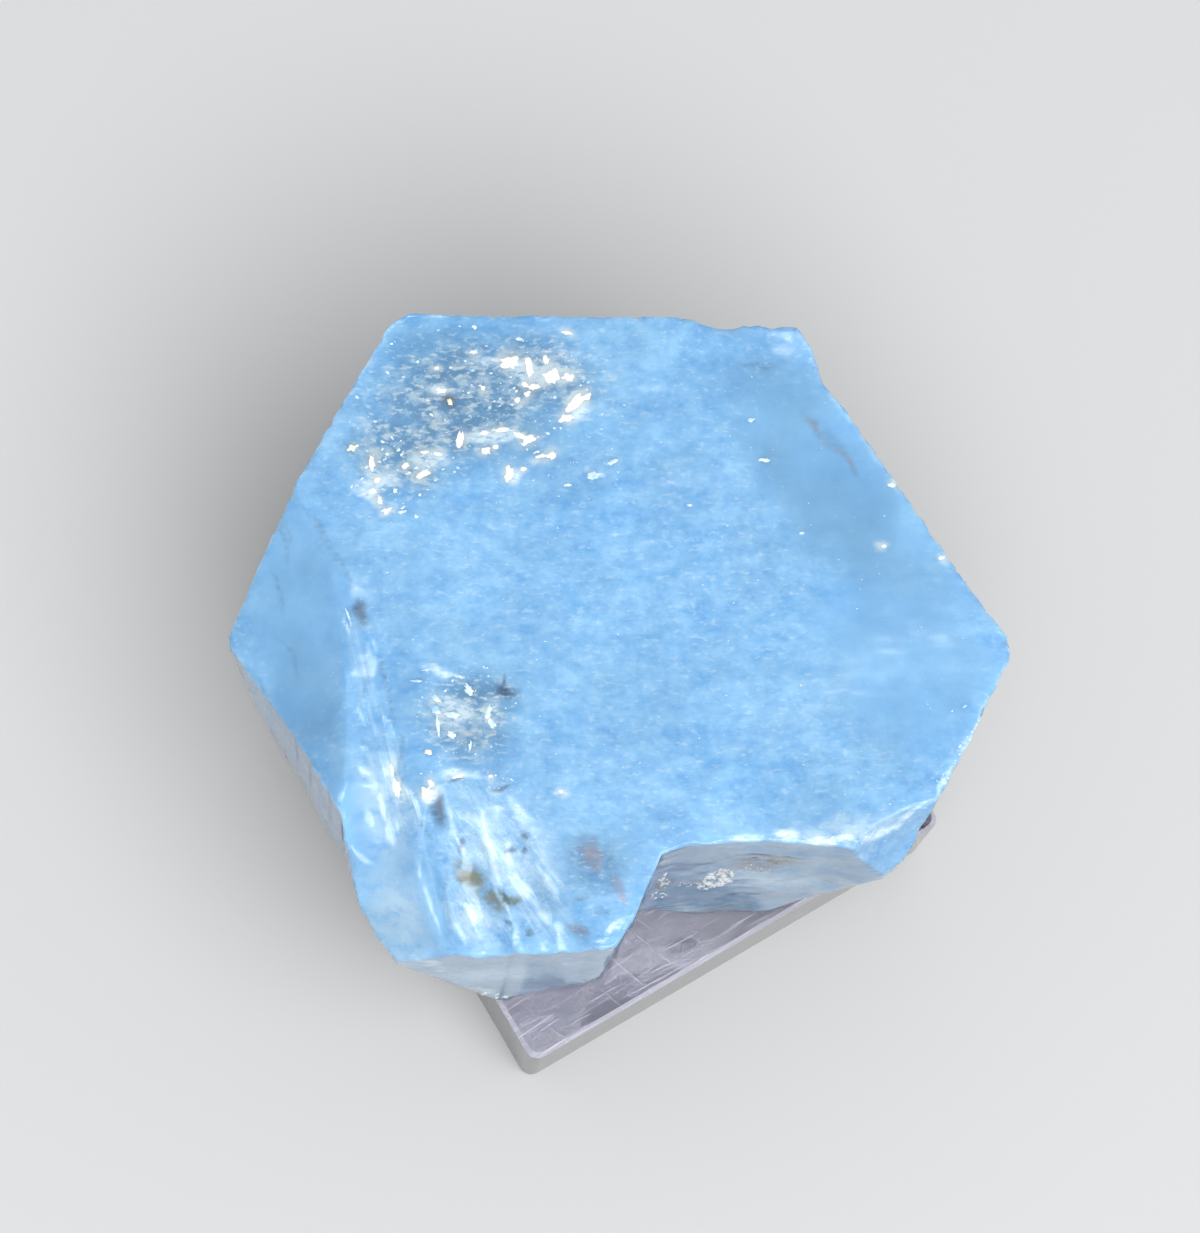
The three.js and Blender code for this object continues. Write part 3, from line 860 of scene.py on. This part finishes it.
def leaf(mesh, mark):
    """Builds one closed leaf from its rings, if it has any."""
    rings = [[mesh.verts.new(point) for point in ring] for ring in leaf_rings(mark) or ()]
    for a, b in zip(rings, rings[1:]):
        count = max(len(a), len(b))
        for k in range(count):
            after = (k + 1) % count
            corners = (a[k % len(a)], b[k % len(b)], b[after % len(b)], a[after % len(a)])
            mesh.faces.new(list(dict.fromkeys(corners)))


def data_of(mesh, name):
    """Turns what was built into mesh data of that name."""
    data = bpy.data.meshes.new(name)
    mesh.to_mesh(data)
    mesh.free()
    return data


def leaves(name, marks, material):
    mesh = bmesh.new()
    for mark in marks:
        leaf(mesh, mark)
    bmesh.ops.recalc_face_normals(mesh, faces=mesh.faces)
    data = data_of(mesh, name)
    data.materials.append(material)
    piece = linked(name, data)
    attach(piece, "root")
    return piece


def flash_material(name, low, high):
    material, tree, place = new_material(name)
    mottle = cloud(place, (1.5, 1.5, 1.5), detail=2.0)
    bright = Wire.add(tree, "ShaderNodeBsdfPrincipled", None, {
        "Base Color": mottle.step(0.3, 0.6).colour(low, high),
        "Roughness": 0.2,
        "IOR": BERYL_IOR,
    })
    finish_material(tree, bright)
    return material


# painted glints: near white, pale blue and warm colours that stand in for light thrown back by cracks
white_flash = flash_material("crack_flash", (0.92, 0.98, 1.0), (1.0, 0.99, 0.97))
pale_flash = flash_material("pale_crack_flash", (0.38, 0.68, 0.96), (0.84, 0.96, 1.0))
warm_flash = flash_material("warm_crack_flash", (0.95, 0.88, 0.66), (1.0, 0.93, 0.86))
flashes = leaves("crack_flashes", FLASHES, white_flash)
pale_flashes = leaves("pale_crack_flashes", PALE_FLASHES + small_marks, pale_flash)
warm_flashes = leaves("warm_crack_flashes", WARM_FLASHES, warm_flash)
print("flashes:", [(o.name, len(o.data.polygons)) for o in (flashes, pale_flashes, warm_flashes)])

# %% [markdown]
# ## Crust
# A little white crust of another mineral sits in the re-entrant corner and on the lowest tip. It is a heap of
# small grains: balls that noise has dented, half sunk in the stone, all in one mesh.

# %% Make the crust
CRUST_PARTS = [
    # middle, half sizes and turn of the part, number of grains, largest radius in pixels
    ((718, 878, 15, 9, 20), 90, 4.4),
    ((705, 886, 8, 4, 0), 24, 3.4),
    ((688, 884, 10, 3, 0), 12, 2.4),
    ((664, 882, 5, 12, 10), 26, 2.8),
    ((658, 895, 8, 3, 0), 14, 2.6),
    ((747, 869, 28, 5, 0), 14, 2.0),
    ((498, 996, 20, 3, -8), 16, 3.2),
]
PIXELS_PER_MM = PHOTO_FOCAL / (picture_of([middle])[0][2] / MM)
CRUST_REACH = 3.5 * MM
GRAIN_SUNK = 0.45
GRAIN_DENT = 0.6
LEAST_GRAIN = 1.2


def grain(mesh, at, out, radius):
    """One dented ball, part of it sunk in the surface."""
    ball = bmesh.ops.create_icosphere(mesh, subdivisions=2, radius=1)["verts"]
    seed = Vector((dice.random(), dice.random(), dice.random())) * 50
    for vertex in ball:
        push = 1 + GRAIN_DENT * (noise.noise(vertex.co * 1.4 + seed) + 0.4 * noise.noise(vertex.co * 3 + seed))
        vertex.co = at + vertex.co * push * radius - out * radius * GRAIN_SUNK


def build_crust():
    mesh = bmesh.new()
    for part, count, largest in CRUST_PARTS:
        heart = seen_at(crystal_tree, part[0], part[1])[0]
        for x, y, size, *_ in scattered(part, count, largest):
            found = seen_at(crystal_tree, x, y)
            if found and abs(found[0].z - heart.z) < CRUST_REACH:
                grain(mesh, found[0], found[1], max(size, LEAST_GRAIN) / PIXELS_PER_MM * MM)
    data = data_of(mesh, "white_crust")
    data.shade_smooth()
    material, tree, place = new_material("white_crust")
    dirt = cloud(place, (1.4, 1.4, 1.4), detail=4.0, rough=0.7)
    chalky = Wire.add(tree, "ShaderNodeBsdfPrincipled", None, {
        "Base Color": dirt.step(0.36, 0.52).colour((0.36, 0.33, 0.33), (0.78, 0.82, 0.86)),
        "Roughness": 0.8,
    })
    finish_material(tree, chalky)
    data.materials.append(material)
    piece = linked("white_crust", data)
    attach(piece, "root")
    return piece


crust = build_crust()
print("crust:", len(crust.data.polygons), "faces")

# %% [markdown]
# ## The block
# The block is cast acrylic, cut square and polished: flat faces, a narrow flat bevel along each edge and
# slightly rounded corners. A clear thing shows its shape by its edges alone, so they are built with care. The
# frame's solid has the same sides and height but broader bevels and corners, and this block replaces it.

# %% Build the block
BLOCK_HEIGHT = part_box("acrylic_block")[1].z
BLOCK_SIDE = 30 * MM
BLOCK_TURN = math.radians(30)
CORNER_RADIUS = 0.8 * MM
BEVEL = 0.28 * MM
EDGE_SOFT = 0.06 * MM
CORNER_STEPS = 10
SHARP_FROM = math.radians(20)


def block_ring(inset, z):
    """The block's outline at a height, drawn in by inset, with rounded corners."""
    half = BLOCK_SIDE / 2 - inset
    radius = max(CORNER_RADIUS - inset * 0.5, 0.1 * MM)
    ring = []
    for corner in range(4):
        for k in range(CORNER_STEPS + 1):
            angle = math.pi / 2 * (corner + k / CORNER_STEPS)
            side = Vector((1 if corner in (0, 3) else -1, 1 if corner in (0, 1) else -1))
            x, y = side * (half - radius) + radius * Vector((math.cos(angle), math.sin(angle)))
            ring.append(Matrix.Rotation(BLOCK_TURN, 3, "Z") @ Vector((x, y, z)))
    return ring


def build_block():
    levels = [(BEVEL, 0), (EDGE_SOFT, BEVEL - EDGE_SOFT), (0, BEVEL + EDGE_SOFT)]
    levels += [(inset, BLOCK_HEIGHT - z) for inset, z in reversed(levels)]
    mesh = bmesh.new()
    rings = [[mesh.verts.new(p) for p in block_ring(inset, z)] for inset, z in levels]
    count = len(rings[0])
    for low, high in zip(rings, rings[1:]):
        for i in range(count):
            mesh.faces.new((low[i], low[(i + 1) % count], high[(i + 1) % count], high[i]))
    mesh.faces.new(reversed(rings[0]))
    mesh.faces.new(rings[-1])
    data = data_of(mesh, "display_block")
    data.shade_smooth()
    data.set_sharp_from_angle(angle=SHARP_FROM)
    return linked("display_block", data)


block = build_block()
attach(block, "root")
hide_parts("acrylic_block")
print("block:", len(block.data.polygons), "faces")

# %% [markdown]
# ## Acrylic
# Acrylic bends light a little less than glass does, with an index of 1.49, and scratches easily. The
# scratches are stretched noise that is cut off high, so that only thin lines of it are left. Scratches and
# wipe marks scatter light, so they are mixed in as a thin pale film over the clear acrylic. The top carries
# the stone and is scratched most, and the sides are nearly as polished as new. The bevels carry a heavy pale
# film all over, which is partly wear and partly a painted highlight along each edge.

# %% Make the acrylic
ACRYLIC_IOR = 1.49
CLEAR_TINT = (0.87, 0.87, 1.0)
FILM_WHITE = (0.86, 0.84, 0.96)
FLAT_FACE = 0.95
BEVEL_FACE = 0.2


def scratches(place, turn, seed):
    turned = place.turned(math.radians(turn))
    return cloud(turned + (seed, seed, 0), (0.16, 9.0, 0.16), detail=2.0).step(0.66, 0.71)


def acrylic_material(name, film_share, scratched):
    """Clear acrylic under a pale film: film_share of it everywhere, and more in the scratches and wipes."""
    material, tree, place = new_material(name)
    lines = (scratches(place, 28, 2) + scratches(place, 34, 9) + 0.5 * scratches(place, -40, 5)).clamped()
    wipes = cloud(place.turned(math.radians(30)), (0.12, 0.9, 0.3), detail=4.0, rough=0.65).step(0.48, 0.70)
    marks = scratched * (0.14 * wipes + 0.7 * lines)
    bump = place.node("ShaderNodeBump", None, {"Strength": 0.4, "Distance": 0.02 * MM, "Height": 1 - marks})
    clear = Wire.add(tree, "ShaderNodeBsdfPrincipled", None, {
        "Base Color": (*CLEAR_TINT, 1.0),
        "Roughness": 0.01 + 0.25 * marks,
        "IOR": ACRYLIC_IOR,
        "Transmission Weight": 1.0,
        "Normal": bump,
    })
    film = Wire.add(tree, "ShaderNodeBsdfPrincipled", None, {
        "Base Color": (*FILM_WHITE, 1.0),
        "Roughness": 0.5,
        "Normal": bump,
    })
    share = (film_share + marks).clamped()
    finish_material(tree, Wire.add(tree, "ShaderNodeMixShader", None, {0: share, 1: clear, 2: film}))
    return material


block.data.materials.append(acrylic_material("polished_acrylic", 0.01, 0.15))
block.data.materials.append(acrylic_material("scratched_acrylic", 0.02, 1.0))
# the bevels' heavy pale film is partly wear and partly a painted highlight along the edges
block.data.materials.append(acrylic_material("bevel_wear_and_highlight", 0.45, 0.5))
for face in block.data.polygons:
    if face.normal.z > FLAT_FACE:
        face.material_index = 1
    elif BEVEL_FACE < abs(face.normal.z) < FLAT_FACE:
        face.material_index = 2
print("acrylic materials:", [material.name for material in block.data.materials])

# %% [markdown]
# ## Floor and light
# The specimen stands on a plain pale floor under one large soft lamp, above it and a little in front, with a
# pale sky all round that lightens the shadows and gives the clear parts something to show. The sky is the
# same all round, so it isn't sampled as a lamp is: the light paths that leave the stone find it anyway.

# %% Build the stage
FLOOR_GAP = 0.05 * MM
FLOOR_HALF = 1.0
FLOOR_COLOUR = (0.70, 0.70, 0.695, 1.0)
KEY_AT = (0.06, -0.17, 0.47)
KEY_SIZE = 0.36
KEY_POWER = 1.88
SKY_COLOUR = (0.95, 0.97, 1.0, 1.0)
SKY_STRENGTH = 0.52
LIT_POINT = Vector((0, 0, 0.02))


def build_floor():
    data = bpy.data.meshes.new("floor")
    corners = [(x * FLOOR_HALF, y * FLOOR_HALF, -FLOOR_GAP) for x, y in ((-1, -1), (1, -1), (1, 1), (-1, 1))]
    data.from_pydata(corners, [], [(0, 1, 2, 3)])
    floor = linked("floor", data)
    material, tree, _ = new_material("pale_floor")
    finish_material(tree, Wire.add(tree, "ShaderNodeBsdfDiffuse", None, {"Color": FLOOR_COLOUR}))
    data.materials.append(material)


def hang_lamp():
    light = bpy.data.lights.new("key", "AREA")
    light.shape = "DISK"
    light.size = KEY_SIZE
    light.energy = KEY_POWER
    lamp = linked("key", light)
    lamp.location = KEY_AT
    lamp.rotation_euler = (LIT_POINT - lamp.location).to_track_quat("-Z", "Y").to_euler()


def build_sky():
    world = bpy.data.worlds.new("sky")
    bpy.context.scene.world = world
    world.use_nodes = True
    back = world.node_tree.nodes["Background"]
    back.inputs["Color"].default_value = SKY_COLOUR
    back.inputs["Strength"].default_value = SKY_STRENGTH
    world.cycles.sampling_method = "NONE"


def limit_bounces():
    """Milk and clear beryl together make long light paths, whose last bounces add nothing to be seen."""
    paths = bpy.context.scene.cycles
    paths.max_bounces = 6
    paths.diffuse_bounces = 1
    paths.glossy_bounces = 1
    paths.transmission_bounces = 6
    paths.caustics_reflective = False
    paths.use_light_tree = False


build_floor()
hang_lamp()
build_sky()
limit_bounces()
bpy.context.scene.view_settings.view_transform = "Standard"

# %% [markdown]
# ## Finish
